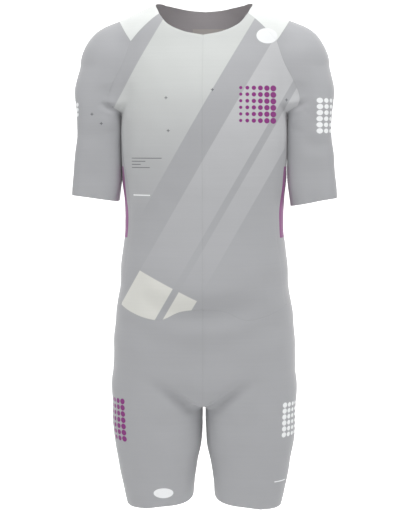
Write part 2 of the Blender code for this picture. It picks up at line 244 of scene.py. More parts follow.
# The sewing: half the join's width, the ladder of thread beside it, a stitch along the seam and how far the
# thread leans across it, and the line that is pressed along a raw edge.
JOIN = 0.35 * MM
LADDER = (0.5 * MM, 2.7 * MM)
STITCH = 1.7 * MM
LEAN = 1.4 * MM
PRESSED = (1.1 * MM, 1.6 * MM)

# The stripes run up to the wearer's left at this angle from level. Each has its low and high edge, in
# millimetres from the line through the origin.
STRIPE_ANGLE = math.radians(60)
WIDE_STRIPE = (-44, 98)
MIDDLE_STRIPE = (146, 214)
NARROW_STRIPE = (226, 262)

# Blocks of dots in metres: lower left corner, columns and rows, pitch, and largest radius as a share of it.
# On a sleeve or thigh the first coordinate runs round its front outer corner.
CHEST_DOTS = ((0.062, -0.226), (6, 6), 0.0116, 0.46)
LEFT_SLEEVE_DOTS = ((-0.154, -0.243), (5, 6), 0.011, 0.44)
RIGHT_SLEEVE_DOTS = ((-0.158, -0.212), (4, 3), 0.009, 0.44)
RIGHT_THIGH_DOTS = ((-0.101, -0.806), (5, 7), 0.0116, 0.46)
LEFT_THIGH_DOTS = ((-0.1, -0.796), (5, 6), 0.011, 0.44)

# Level bars in metres: upper left corner, each bar's length, pitch and thickness.
CHEST_BARS = ((-0.128, -0.286), (0.056, 0.026, 0.017, 0.034), 0.0056, 0.0013)
WAIST_BAR = ((-0.126, -0.352), (0.032,), 0.005, 0.0022)
HEM_BAR = ((0.13, -0.878), (0.02,), 0.005, 0.002)

# Plain ovals, by the left shoulder and above the right hem: centre, and half the width and height.
DISC = ((0.1145, -0.067), (0.019, 0.014))
HEM_OVAL = ((-0.073, -0.9), (0.018, 0.0095))

# Where the small crosses are, half their width and their bars' thickness, in millimetres.
CHEST_CROSSES = ((-64, -180), (18, -166), (-60, -238), (-166, -196), (150, -182))
SLEEVE_CROSSES = ((-203, -207), (-186, -224))
CROSS_ARM = 2.7
CROSS_THICK = 1.4

# How wide a printed edge's blur is.
FINE_EDGE = 0.4 * MM
EDGE = 1 * MM
STRIPE_EDGE = 1.2 * MM


def smooth_curve(known, values, wanted):
    """Values on smooth curves through the known rows: cubics whose slopes are the rows' differences."""
    slopes = np.gradient(values, known, axis=0)
    wanted = np.clip(wanted, known[0], known[-1])
    row = np.clip(np.searchsorted(known, wanted, side="right") - 1, 0, len(known) - 2)
    shape = (-1,) + (1,) * (values.ndim - 1)
    step = (known[row + 1] - known[row]).reshape(shape)
    t = (wanted - known[row]).reshape(shape) / step
    start = (1 + 2 * t) * (1 - t) ** 2 * values[row] + t * (1 - t) ** 2 * step * slopes[row]
    end = t * t * (3 - 2 * t) * values[row + 1] - t * t * (1 - t) * step * slopes[row + 1]
    return start + end


def loft(points, table, dome):
    """About how far points lie outside a form of level sections, and less than 0 inside it.

    In a section, |x / half width|^n + |y / depth|^n is 1 on the surface. Past the first and last rows a
    third term closes the form as a dome.
    """
    rows = np.array(table[::-1], float)
    rows[:, :-1] *= MM
    x, y, z = points.T
    inner, outer, front, middle, back, power = smooth_curve(rows[:, 0], rows[:, 1:], z).T
    half = (outer - inner) / 2
    depth = np.where(y < middle, middle - front, back - middle)
    over = np.maximum(z - rows[-1, 0], 0) / (dome[0] * MM) + np.maximum(rows[0, 0] - z, 0) / (dome[1] * MM)
    across = np.abs(x - (outer + inner) / 2) / half
    through = np.abs(y - middle) / depth
    reach = (across**power + through**power + over**power + 1e-9) ** (1 / power)
    return (reach - 1) * np.minimum(half, (back - front) / 2)


def soft_union(first, second, blend):
    """The lesser of two values, less (blend - difference)^2 / 4 blend where they are nearer than blend."""
    near = np.maximum(blend - np.abs(first - second), 0)
    return np.minimum(first, second) - near * near / (4 * blend)


def ramp(value, low, high):
    """From 0 at low to 1 at high, as 3 t^2 - 2 t^3."""
    t = np.clip((value - low) / (high - low), 0, 1)
    return t * t * (3 - 2 * t)


def form(points, part="whole"):
    """The whole form. Below the armpit, part "trunk" leaves out the arms and "arm" leaves out the trunk."""
    sided = np.column_stack((np.abs(points[:, 0]), points[:, 1:]))
    trunk = loft(sided, TRUNK, TRUNK_DOME)
    arm = loft(sided, ARM, ARM_DOME)
    low, high = ARMPIT_HEIGHTS
    below = ARMPIT_PARTING * (1 - ramp(points[:, 2], low - (high - low), low))
    if part == "trunk":
        arm = arm + below
    if part == "arm":
        trunk = trunk + below
    blend = CLEAR_BLEND + (SHOULDER_BLEND - CLEAR_BLEND) * ramp(points[:, 2], low, high)
    return soft_union(soft_union(trunk, arm, blend), loft(sided, THIGH, THIGH_DOME), HIP_BLEND)


def slope(points, part):
    """The form's value at points, and its gradient by differences between points PROBE to each side."""
    shifts = np.repeat(np.eye(3), 2, axis=0) * PROBE * np.array([1, -1, 1, -1, 1, -1])[:, None]
    around = (points[None] + shifts[:, None]).reshape(-1, 3)
    values = form(around, part).reshape(6, -1)
    return form(points, part), ((values[0::2] - values[1::2]) / (2 * PROBE)).T


def seat(points, part="whole", passes=6):
    """Points moved straight on to the form, by steps along its gradient."""
    for _ in range(passes):
        value, gradient = slope(points, part)
        steep = np.maximum((gradient**2).sum(axis=1), LEAST_STEEP)
        points = points - np.clip(value / steep, -LONGEST_STEP, LONGEST_STEP)[:, None] * gradient
    return points


def outward(grid, part):
    """The form's unit normals at a grid of points."""
    gradient = slope(grid.reshape(-1, 3), part)[1]
    return (gradient / np.linalg.norm(gradient, axis=1)[:, None]).reshape(grid.shape)


def run_of(curve):
    """The distance along a line at each of its points."""
    return np.r_[0, np.cumsum(np.linalg.norm(np.diff(curve, axis=0), axis=1))]


def spread(curve, steps):
    """The curve's points at equal distances along it."""
    run = run_of(curve)
    wanted = np.linspace(0, run[-1], steps + 1)
    return np.column_stack([np.interp(wanted, run, curve[:, axis]) for axis in range(3)])


def through_points(places, count):
    """A smooth line of count points through places in millimetres, or corners by name."""
    rough = np.array([CORNERS[place] if isinstance(place, str) else place for place in places], float) * MM
    run = run_of(rough)
    return smooth_curve(run, rough, np.linspace(0, run[-1], count))


def seam_line(places, steps, part="whole"):
    """A smooth line through rough points, seated on the form and evenly stepped."""
    return seat(spread(seat(through_points(places, DENSE), part), steps), part, 2)


def joined(*lines):
    """Lines end to end, each given as it runs, without their shared points twice."""
    return np.concatenate([line[:-1] for line in lines[:-1]] + [lines[-1]])


def evened(grid):
    """Where each inner point would go for an even grid, from the points around it.

    Two rules are mixed. In one, across and up second differences are weighted by the other way's length, less
    the skew. The other is the mean of the four neighbours, each weighted by its distance.
    """
    inner = grid[1:-1, 1:-1]
    near = below, above, before, after = grid[:-2, 1:-1], grid[2:, 1:-1], grid[1:-1, :-2], grid[1:-1, 2:]
    up, across = (above - below) / 2, (after - before) / 2
    skewed = grid[2:, 2:] - grid[2:, :-2] - grid[:-2, 2:] + grid[:-2, :-2]
    pairs = (up, up), (across, across), (up, across)
    tall, wide, skew = ((a * b).sum(axis=-1, keepdims=True) for a, b in pairs)
    unfolded = (tall * (before + after) + wide * (below + above) - skew * skewed / 2) / (2 * (tall + wide))
    pulls = [np.linalg.norm(point - inner, axis=-1, keepdims=True) for point in near]
    levelled = sum(pull * point for pull, point in zip(pulls, near)) / sum(pulls)
    return UNFOLDING * unfolded + (1 - UNFOLDING) * levelled


def settle(grid, part, passes):
    """Evens out the inner points and seats them on the form, again and again, in place."""
    inside = grid[1:-1, 1:-1]
    for _ in range(passes):
        moved = inside + (evened(grid) - inside) * EVEN_STEP
        inside[:] = seat(moved.reshape(-1, 3), part, 1).reshape(moved.shape)
    inside[:] = seat(inside.reshape(-1, 3), part, 3).reshape(inside.shape)
    return grid


def patch(bottom, top, left, right, part, fine, between=None):
    """A fine grid between four edges that share their corners.

    Every fine-th point makes the CAD's coarse grid, which is evened out on the form. Smooth curves through
    its rows and columns give the fine grid, whose edges are then the given ones, and a few more passes
    settle it.
    """
    edges = [edge[::fine] for edge in (bottom, top, left, right)]
    up = np.linspace(0, 1, len(edges[2]))[:, None, None]
    across = np.linspace(0, 1, len(edges[0]))[None, :, None]
    middle = (edges[0] + edges[1]) / 2 if between is None else between[::fine]
    low, high = (1 - 2 * up) * edges[0] + 2 * up * middle, (2 - 2 * up) * middle + (2 * up - 1) * edges[1]
    grid = np.where(up < 0.5, low, high)
    near_left = np.clip(1 - across / SIDE_REACH, 0, 1) ** 2
    near_right = np.clip(1 - (1 - across) / SIDE_REACH, 0, 1) ** 2
    left_shift, right_shift = (edges[2] - grid[:, 0])[:, None], (edges[3] - grid[:, -1])[:, None]
    grid = grid + near_left * left_shift + near_right * right_shift
    settle(grid, part, EVEN_PASSES)
    rows, columns = (np.arange(count, dtype=float) for count in grid.shape[:2])
    grid = smooth_curve(rows, grid, np.linspace(0, rows[-1], len(left)))
    grid = smooth_curve(columns, grid.swapaxes(0, 1), np.linspace(0, columns[-1], len(bottom)))
    grid = grid.swapaxes(0, 1).copy()
    for edge, line in (((0,), bottom), ((-1,), top), ((slice(None), 0), left), ((slice(None), -1), right)):
        grid[edge] = line
    return settle(grid, part, FINE_PASSES)


def mirrored(lines, side):
    return lines * (side, 1, 1)


def arm_ring(inner_height, outer_height, fine):
    """A line round the arm that slopes from side to side, from the inner side round the front."""
    turn = np.linspace(0, 2 * np.pi, DENSE)
    across, through = -np.cos(turn), -np.sin(turn)
    height = (inner_height + outer_height) / 2 + (outer_height - inner_height) / 2 * across
    x, y = RING_CENTRE[0] + RING_HALF[0] * across, RING_CENTRE[1] + RING_HALF[1] * through
    rough = np.column_stack((x, y, height))
    steps = sum(SEAMS[name][0] for name in ARMHOLE) * fine
    return seat(spread(seat(rough * MM, "arm"), steps), "arm", 2)


class Cut:
    """The seams at a fine step, worked out once, and each piece's grid with the edges where it is sewn."""

    def __init__(self, fine):
        self.fine = fine
        self.lines = {
            name: seam_line(places, steps * fine, "trunk" if name.startswith("side") else "whole")
            for name, (steps, *places) in SEAMS.items()
        }

    def edge(self, *names):
        """A joined edge, and whether each of its points is sewn.

        A name that ends in ~ runs backwards, and one that ends in - is mirrored.
        """
        lines, sewn = [], []
        for name in names:
            key = name.strip("~-")
            line = self.lines[key]
            line = line[::-1] if "~" in name else line
            lines.append(mirrored(line, -1) if "-" in name else line)
            sewn.append(np.full(len(line) - 1, not key.startswith(("neck", "hem"))))
        return joined(*lines), np.concatenate([*sewn, sewn[-1][-1:]])

    def piece(self, bottom, top, left, right, part, between=None):
        sides = bottom, top, left, right
        edges = [self.edge(*names) if isinstance(names[0], str) else names for names in sides]
        grid = patch(*(line for line, _ in edges), part, self.fine, between)
        return grid, [sewn for _, sewn in edges]

    def front(self):
        top, side = ("neck front", "yoke front"), ("side front", "armhole front~")
        return self.piece(("waist front",), top, ("centre front",), side, "trunk")

    def flank(self):
        top = ("underarm front", "underarm back")
        return self.piece(("waist side",), top, ("side front",), ("side back",), "trunk")

    def yoke(self):
        return self.piece(("yoke front",), ("yoke back",), ("neck side",), ("armhole top",), "whole")

    def back(self):
        waist, top = ("waist back", "waist back~-"), ("yoke back~", "neck back", "neck back~-", "yoke back-")
        sides = ("side back", "armhole back~"), ("side back-", "armhole back~-")
        return self.piece(waist, top, *sides, "trunk")

    def leg(self):
        waist = ("waist front", "waist side", "waist back")
        return self.piece(("hem",), waist, ("inseam", "rise front"), ("inseam", "rise back"), "trunk")

    def sleeve(self, heights):
        """The armhole runs round from the underarm's middle, and the underarm seam joins it to the cuff."""
        backwards = ARMHOLE[:2] + ARMHOLE[-1:]
        armhole, sewn = self.edge(*(name + "~" if name in backwards else name for name in ARMHOLE))
        cuff = arm_ring(*heights, self.fine)
        t = np.linspace(0, 1, DENSE)[:, None]
        inner = cuff[0] * (1 - t) + armhole[0] * t
        underarm = seat(spread(seat(inner, "arm"), SLEEVE_STEPS * self.fine), "arm", 2)
        underarm[0], underarm[-1] = cuff[0], armhole[0]
        raw, joins = np.zeros(len(cuff), bool), np.ones(len(underarm), bool)
        between = arm_ring(*BICEPS, self.fine)
        return self.piece((cuff, raw), (armhole, sewn), (underarm, joins), (underarm, joins), "arm", between)


def crease_height(points, name):
    """How far the creases move points out along the cloth, in metres.

    With d the distance from a crease's line and w its half width, the height is -depth exp(-(d / w)^2) +
    ridge exp(-(d / w - RIDGE_PLACE)^2), and it fades towards both ends of the line.
    """
    height = np.zeros(len(points))
    for where, sides, depth, width, ridge, *places in CREASES:
        if not name.startswith(where):
            continue
        for side in (-1, 1):
            if sides not in ("both", {-1: "right", 1: "left"}[side]):
                continue
            line = mirrored(seat(through_points(places, CREASE_POINTS), "whole", 4), side)
            if side < 0:
                line = line - (0, 0, LOWER_ON_RIGHT)
            reach = CREASE_REACH * width * MM
            low, high = line.min(axis=0) - reach, line.max(axis=0) + reach
            near = np.flatnonzero(((points > low) & (points < high)).all(axis=1))
            if not len(near):
                continue
            start, step = line[:-1], np.diff(line, axis=0)
            offset = points[near][:, None] - start
            t = np.clip((offset * step).sum(axis=-1) / (step**2).sum(axis=-1), 0, 1)
            apart = np.linalg.norm(offset - t[..., None] * step, axis=-1)
            nearest = apart.argmin(axis=1)
            rows = np.arange(len(near))
            along = (nearest + t[rows, nearest]) / len(step)
            d = apart[rows, nearest] / (width * MM)
            fade = np.sin(np.pi * np.clip(along, 0.02, 0.98)) ** 0.8
            height[near] += (ridge * np.exp(-((d - RIDGE_PLACE) ** 2)) - depth * np.exp(-d * d)) * fade * MM
    return height


def unevenness(points):
    """A slow rise and fall of the cloth, in metres, from three waves about 45 to 95 mm long."""
    x, y, z = (points / UNEVEN_LENGTH).T
    crossed = np.sin(0.9 * z + 0.5 * x) * np.sin(0.62 * x - 0.4 * y)
    return UNEVEN_DEPTH * (crossed + 0.6 * np.sin(1.3 * z - 0.8 * y + 1))


def edge_measures(grid, sewn):
    """For each point: its place on the flat cut, and how far it is from a sewn edge and from a raw edge.

    The place is the distance along its row and up its column. Along the nearest sewn edge it also gets the
    distance run, for the stitches.
    """
    wide, tall = (np.linalg.norm(np.diff(grid, axis=axis), axis=-1) for axis in (1, 0))
    across = np.pad(np.cumsum(wide, 1), ((0, 0), (1, 0)))
    up = np.pad(np.cumsum(tall, 0), ((1, 0), (0, 0)))
    to_edges = np.stack([up, up[-1] - up, across, across[:, -1:] - across])
    along = np.stack([across, across, up, up])
    bottom, top, left, right = sewn
    masks = bottom, top, left[:, None], right[:, None]
    joins = np.stack([np.broadcast_to(mask, up.shape) for mask in masks])
    far = 1.0
    seam = np.where(joins, to_edges, far)
    nearest = seam.argmin(axis=0)[None]
    run = np.take_along_axis(along, nearest, axis=0)[0]
    raw = np.where(joins, far, to_edges).min(axis=0)
    return across, up, seam.min(axis=0), run, raw


def linked(name, data):
    made = bpy.data.objects.new(name, data)
    bpy.context.scene.collection.objects.link(made)
    return made


def add_attribute(mesh, name, values):
    mesh.attributes.new(name, "FLOAT", "POINT").data.foreach_set("value", values.astype(np.float32))


def grid_area(grid):
    """The grid's area: half the length of the cross product of each cell's diagonals."""
    first, second = grid[1:, 1:] - grid[:-1, :-1], grid[1:, :-1] - grid[:-1, 1:]
    return float(np.linalg.norm(np.cross(first, second), axis=-1).sum() / 2)


def cloth(name, piece, part, side, finish):
    """One panel: a thin shell on the form with its creases, dipped along its seams."""
    sizes = bpy.context.scene.suit_sizes
    grid, sewn = piece
    grid = mirrored(grid, side)
    normals = outward(grid, part)
    row, column = grid.shape[0] // 2, grid.shape[1] // 2
    here = grid[row, column]
    turned = np.cross(grid[row, column + 1] - here, grid[row + 1, column] - here) @ normals[row, column] < 0
    across, up, seam, run, raw = edge_measures(grid, sewn)
    flat_points = grid.reshape(-1, 3)
    height = crease_height(flat_points, name) * sizes.crease_scale + unevenness(flat_points)
    height = height.reshape(seam.shape) - sizes.seam_dip * np.exp(-((seam / DIP_WIDTH) ** 2))
    outer = grid + normals * height[..., None]
    inner = outer - normals * sizes.thickness
    # A raw edge is rounded over its thickness.
    rounding = np.exp(-((raw / ROUNDED) ** 2))[..., None] * sizes.thickness * ROUNDED_SHARE
    outer = outer - normals * rounding
    count = grid.shape[0] * grid.shape[1]
    points = np.concatenate([outer.reshape(-1, 3), inner.reshape(-1, 3)])
    index = np.arange(count).reshape(grid.shape[:2])
    cells = np.stack([index[:-1, :-1], index[:-1, 1:], index[1:, 1:], index[1:, :-1]], axis=-1).reshape(-1, 4)
    rim = np.concatenate([index[0, :-1], index[:-1, -1], index[-1, :0:-1], index[:0:-1, 0]])
    after = np.roll(rim, -1)
    rims = np.column_stack((rim, rim + count, after + count, after))
    faces = np.concatenate([cells, cells[:, ::-1] + count, rims])
    if turned:
        faces = faces[:, ::-1]
    mesh = bpy.data.meshes.new(name)
    mesh.from_pydata(points.tolist(), [], faces.tolist())
    mesh.shade_smooth()
    mesh.set_sharp_from_angle(angle=SHARP_ANGLE)
    corner = np.empty(len(mesh.loops), np.int32)
    mesh.loops.foreach_get("vertex_index", corner)
    flat = np.column_stack((across.reshape(-1), up.reshape(-1)))[corner % count]
    mesh.uv_layers.new(name="cut").data.foreach_set("uv", flat.astype(np.float32).reshape(-1))
    for attribute, values in (("seam", seam), ("run", run), ("raw", raw)):
        add_attribute(mesh, attribute, np.tile(values.reshape(-1), 2))
    add_attribute(mesh, "inside", np.repeat((0.0, 1.0), count))
    mesh.materials.append(finish)
    made = linked(name + "_cloth", mesh)
    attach(made, "root")
    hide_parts(name)
    cut = sizes.cut_share
    wide, long = float(across[:, -1].max()) * cut, float(up[-1].max()) * cut
    area = min(grid_area(grid) * cut * cut, wide * long)
    return made


class Value:
    """A socket's number. Operators on it add Math nodes, so a pattern reads as a formula."""

    def __init__(self, shader, socket):
        self.shader, self.socket = shader, socket

    def math(self, operation, *others, clamp=False):
        inputs = dict(enumerate((self, *others)))
        node = self.shader.node("Math", {"operation": operation, "use_clamp": clamp}, inputs)
        return Value(self.shader, node.outputs[0])

    def reflected(self, operation, other):
        node = self.shader.node("Math", {"operation": operation}, {0: other, 1: self})
        return Value(self.shader, node.outputs[0])

    def __add__(self, other):
        return self.math("ADD", other)

    __radd__ = __add__

    def __sub__(self, other):
        return self.math("SUBTRACT", other)

    def __rsub__(self, other):
        return self.reflected("SUBTRACT", other)

    def __mul__(self, other):
        return self.math("MULTIPLY", other)

    __rmul__ = __mul__

    def __truediv__(self, other):
        return self.math("DIVIDE", other)

    def __rtruediv__(self, other):
        return self.reflected("DIVIDE", other)

    def __neg__(self):
        return self.math("MULTIPLY", -1.0)

    def __abs__(self):
        return self.math("ABSOLUTE")

    def above(self, level, soft):
        """From 0 to 1 as the value passes level, over the width soft."""
        return self.math("MULTIPLY_ADD", 1 / soft, 0.5 - level / soft, clamp=True)

    def below(self, level, soft):
        return self.math("MULTIPLY_ADD", -1 / soft, 0.5 + level / soft, clamp=True)

    def within(self, low, high, soft):
        return self.above(low, soft) * self.below(high, soft)


class Shader:
    """A material's node tree, with the values that the suit's patterns are made from."""

    def __init__(self, name):
        self.material = bpy.data.materials.new(name)
        self.material.use_nodes = True
        self.tree = self.material.node_tree
        self.surface = self.tree.nodes["Principled BSDF"]

    def node(self, kind, settings=None, inputs=None):
        """A node of the type ShaderNode + kind, with its settings, then its sockets' values or links."""
        made = self.tree.nodes.new("ShaderNode" + kind)
        for key, value in (settings or {}).items():
            setattr(made, key, value)
        for key, value in (inputs or {}).items():
            self.feed(made.inputs[key], value)
        return made

    def feed(self, socket, value):
        if isinstance(value, Value):
            self.tree.links.new(value.socket, socket)
        elif isinstance(value, bpy.types.NodeSocket):
            self.tree.links.new(value, socket)
        else:
            socket.default_value = value

    def axes(self, socket):
        parts = self.node("SeparateXYZ", inputs={0: socket})
        return [Value(self, output) for output in parts.outputs]

    def place(self):
        """X, Y and Z in the object's own coordinates, in metres."""
        return self.axes(self.node("TexCoord").outputs["Object"])

    def on_cut(self):
        """The place on the flat cut, in metres: across and up."""
        return self.axes(self.node("UVMap", {"uv_map": "cut"}).outputs["UV"])[:2]

    def attribute(self, name):
        return Value(self, self.node("Attribute", {"attribute_name": name}).outputs["Fac"])

    def noise(self, scale, detail=2.0, roughness=0.5):
        """Noise from 0 to 1 in object coordinates. Its scale is in features to the metre."""
        place = self.node("TexCoord").outputs["Object"]
        inputs = {"Vector": place, "Scale": scale, "Detail": detail, "Roughness": roughness}
        return Value(self, self.node("TexNoise", inputs=inputs).outputs["Fac"])

    def mix(self, factor, first, second, kind="MIX"):
        """The first colour, going over to the second where factor is 1."""
        made = self.node("Mix", {"data_type": "RGBA", "blend_type": kind, "clamp_factor": True}, {0: factor})
        for socket, colour in ((made.inputs[6], first), (made.inputs[7], second)):
            self.feed(socket, (*colour, 1.0) if isinstance(colour, tuple) else colour)
        return made.outputs[2]

    def grey(self, value):
        """A value as a grey colour, to multiply a colour by."""
        return self.node("CombineColor", inputs={0: value, 1: value, 2: value}).outputs[0]


def rgb(name):
    return tuple(getattr(bpy.context.scene.suit_colours, name))


def knit_shader(name, colour_of, rough=0.62):
    """A stretch knit: colour_of(shader, inside) paints it, then come its loops, a change of tone and sewing.

    The loops' height is |sin(pi u / pitch)| with a sine of the courses along v, u and v being the place on
    the cut. Flat seams have a ladder of thread over the join, and raw edges a fine pressed line.
    """
    sizes = bpy.context.scene.suit_sizes
    shader = Shader(name)
    across, up = shader.on_cut()
    seam, run, raw, inside = (shader.attribute(key) for key in ("seam", "run", "raw", "inside"))
    pitch = sizes.knit_pitch
    wales = abs((across * (math.pi / pitch)).math("SINE"))
    courses = (up * (2 * math.pi / (pitch * 1.15)) + wales * 1.2).math("SINE")
    loops = wales * 0.6 + courses * 0.25
    slow = shader.noise(9.0, 3.0)
    place = shader.node("TexCoord").outputs["Object"]
    stretched = shader.node("Mapping", inputs={"Vector": place, "Scale": (6.0, 6.0, 330.0)}).outputs[0]
    fine_noise = shader.node("TexNoise", inputs={"Vector": stretched, "Scale": 1.0, "Detail": 2.0})
    streaks = Value(shader, fine_noise.outputs["Fac"])
    join = seam.below(JOIN, 0.5 * MM)
    band = seam.within(*LADDER, 0.3 * MM)
    thread = (run * (2 * math.pi / STITCH) + seam * (math.pi / LEAN)).math("SINE")
    ladder = band * (0.55 + thread * 0.45)
    pressed = raw.within(*PRESSED, FINE_EDGE)
    shade = 0.965 + loops * 0.035 + (slow - 0.5) * 0.05 + (streaks - 0.5) * 0.045
    shade = shade * (1 - join * 0.07) * (1 - band * 0.012) + ladder * 0.012 - pressed * 0.02
    colour = shader.mix(1.0, colour_of(shader, inside), shader.grey(shade), "MULTIPLY")
    shader.feed(shader.surface.inputs["Base Color"], colour)
    shader.feed(shader.surface.inputs["Roughness"], rough + (slow - 0.5) * 0.08 - ladder * 0.06)
    height = loops * 0.10 + ladder * 0.35 - join * 0.4 - pressed * 0.15
    bump = shader.node("Bump", inputs={"Strength": 0.45, "Distance": 0.5 * MM, "Height": height})
    shader.feed(shader.surface.inputs["Normal"], bump.outputs[0])
    shader.surface.inputs["Sheen Weight"].default_value = 0.32
    shader.surface.inputs["Sheen Roughness"].default_value = 0.45
    shader.surface.inputs["Specular IOR Level"].default_value = 0.32
    return shader.material


def dots(across, up, corner, count, pitch, largest):
    """A block of round dots that grow from left to right, from its lower left corner: a generic print."""
    u, v = (across - corner[0]) / pitch, (up - corner[1]) / pitch
    inside = u.within(0, count[0], 0.02) * v.within(0, count[1], 0.02)
    row, column = v.math("FLOOR"), u.math("FLOOR")
    du, dv = u - column - 0.5, v - row - 0.5
    reach = (du * du + dv * dv).math("SQRT")
    size = largest * (0.45 + 0.55 * (column + 1) / count[0])
    return inside * (size - reach).above(0, 0.08)


def bars(across, up, corner, lengths, pitch, thick):
    """Thin level bars under each other, from the upper left corner: a generic print."""
    mask = None
    for step, length in enumerate(lengths):
        bar = up.within(corner[1] - step * pitch - thick, corner[1] - step * pitch, FINE_EDGE)
        bar = bar * across.within(corner[0], corner[0] + length, FINE_EDGE)
        mask = bar if mask is None else mask + bar
    return mask


def crosses(across, up, places):
    """Small plus signs, each two crossed bars."""
    mask = None
    for x, z in places:
        dx, dz = abs(across - x * MM), abs(up - z * MM)
        for long, short in ((dx, dz), (dz, dx)):
            bar = long.below(CROSS_ARM * MM, FINE_EDGE) * short.below(CROSS_THICK * MM / 2, FINE_EDGE)
            mask = bar if mask is None else mask.math("MAXIMUM", bar)
    return mask


def oval(across, up, centre, half):
    u, v = (across - centre[0]) / half[0], (up - centre[1]) / half[1]
    return (u * u + v * v).below(1, 0.12)


def round_corner(x, y, side):
    """How far round the front outer corner of a sleeve or leg a place is, growing towards the front."""
    return (x * side + y) * -math.sqrt(0.5)


def lined(shader, inside, colour):
    """The colour outside, and the unprinted knit on the inner face."""
    return shader.mix(inside, colour, rgb("lining"))


def stripe(x, z, edges):
    """Whether a place is in a stripe. It lies x sin(angle) - z cos(angle) across them."""
    across = x * math.sin(STRIPE_ANGLE) - z * math.cos(STRIPE_ANGLE)
    return across.within(edges[0] * MM, edges[1] * MM, STRIPE_EDGE)


def front_colour(shader, inside):
    """Straight tonal stripes across the chest, a block of dots, a plain disc, bars and small crosses.

    The wide stripe is off-white and the two beside it are pale grey. All of them fade to grey downwards, and
    by the hip the two are cream. The off-white's darkening below the chest is partly the print's fade and
    partly painted shade.
    """
    x, _, z = shader.place()
    # Above the chest the grey turns to the lighter band colour: painted top light, brighter where light from
    # above would fall.
    colour = shader.mix(z.above(-0.12, 0.22), rgb("grey"), rgb("band"))
    # The off-white stripe darkens and fades downwards: partly the print's fade, partly painted shade under
    # the chest.
    wide = shader.mix(z.above(-0.19, 0.26), rgb("pale_low_shaded"), rgb("pale"))
    colour = shader.mix(stripe(x, z, WIDE_STRIPE) * z.above(-0.265, 0.26), colour, wide)
    pair = stripe(x, z, MIDDLE_STRIPE) + stripe(x, z, NARROW_STRIPE)
    colour = shader.mix(pair * z.above(-0.36, 0.34), colour, rgb("second"))
    hip = (z + x * 0.5).below(-0.545, STRIPE_EDGE)
    colour = shader.mix(pair * hip, colour, rgb("cream"))
    colour = shader.mix(dots(x, z, *CHEST_DOTS), colour, rgb("purple"))
    colour = shader.mix(oval(x, z, *DISC), colour, rgb("mark_white"))
    ticks = bars(x, z, *CHEST_BARS).math("MAXIMUM", crosses(x, z, CHEST_CROSSES))
    colour = shader.mix(ticks * 0.8, colour, rgb("ink"))
    return lined(shader, inside, shader.mix(bars(x, z, *WAIST_BAR), colour, rgb("mark_white")))


def side_colour(shader, inside):
    """Grey with a plain purple strip near the panel's front edge."""
    _, y, z = shader.place()
    strip = y.within(-0.06, -0.022, EDGE) * z.within(-0.432, -0.302, EDGE)
    return lined(shader, inside, shader.mix(strip, rgb("grey"), rgb("purple")))


def back_colour(shader, inside):
    """Plain grey, with a pale stripe down from the right shoulder. The inner face has a paler patch."""
    x, _, z = shader.place()
    colour = shader.mix(stripe(-x, z, MIDDLE_STRIPE) * z.above(-0.3, 0.3), rgb("grey"), rgb("second"))
    # A paler patch on the inner face behind the neck.
    paler_patch = x.within(-0.026, 0.078, EDGE) * z.within(-0.085, -0.04, EDGE)
    return shader.mix(inside, colour, shader.mix(paler_patch, rgb("lining"), rgb("lining_patch")))


def yoke_colour(shader, inside):
    x, _, z = shader.place()
    return lined(shader, inside, shader.mix(oval(x, z, *DISC), rgb("yoke"), rgb("mark_white")))


def sleeve_colour(shader, inside):
    """Grey with small white dots near the outer edge of each sleeve, and a few crosses on the right one."""
    x, y, z = shader.place()
    front = y.below(0.005, EDGE)
    white = dots(round_corner(x, y, 1), z, *LEFT_SLEEVE_DOTS) * x.above(0.175, EDGE)
    white = white + dots(round_corner(x, y, -1), z, *RIGHT_SLEEVE_DOTS)
    # The sleeve's top turns to the lighter band colour: painted top light.
    colour = shader.mix(z.above(-0.12, 0.16), rgb("grey"), rgb("band"))
    colour = shader.mix(white * front, colour, rgb("mark_white"))
    ticks = crosses(x, z, SLEEVE_CROSSES) * front * 0.8
    return lined(shader, inside, shader.mix(ticks, colour, rgb("ink")))


def leg_colour(shader, inside):
    """Grey with dots on the outer thighs, purple on the right and white on the left, and an oval by a hem."""
    x, y, z = shader.place()
    front = y.below(0.02, EDGE)
    purple = dots(round_corner(x, y, -1), z, *RIGHT_THIGH_DOTS) * x.below(-0.12, EDGE) * front
    white = dots(round_corner(x, y, 1), z, *LEFT_THIGH_DOTS) * x.above(0.12, EDGE) * front
    plain = oval(x, z, *HEM_OVAL) + bars(x, z, *HEM_BAR)
    colour = shader.mix(purple, rgb("grey"), rgb("purple"))
    colour = shader.mix((white + plain * front).math("MINIMUM", 1.0), colour, rgb("mark_white"))
    return lined(shader, inside, colour)


def srgb(*levels):
    """Linear colour from eight-bit display levels: ((c + 0.055) / 1.055)^2.4, or c / 12.92 near black."""
    shares = [level / 255 for level in levels]
    return tuple(((c + 0.055) / 1.055) ** 2.4 if c > 0.04 else c / 12.92 for c in shares)


def colour_property(name, description, *levels):
    words = {"name": name, "description": description, "subtype": "COLOR"}
    return FloatVectorProperty(default=srgb(*levels), size=3, min=0, max=1, **words)


def length_property(name, description, default):
    return FloatProperty(name=name, description=description, default=default, unit="LENGTH")


class SuitSizes(bpy.types.PropertyGroup):
    thickness: length_property("Cloth", "Thickness of the knit", 0.8 * MM)
    seam_dip: length_property("Seam dip", "How far the cloth dips at a seam", 0.28 * MM)
    knit_pitch: length_property("Knit pitch", "Width of a column of loops", 0.9 * MM)
    crease_scale: FloatProperty(name="Creases", description="Share of the creases' full depth", default=1.0)
    cut_share: FloatProperty(name="Cut", description="Flat length as a share of the worn one", default=0.92)
    fine: IntProperty(name="Fineness", description="Grid steps to one step of the solid", default=6)
    floor_height: length_property("Floor", "Height of the floor", -1.25)


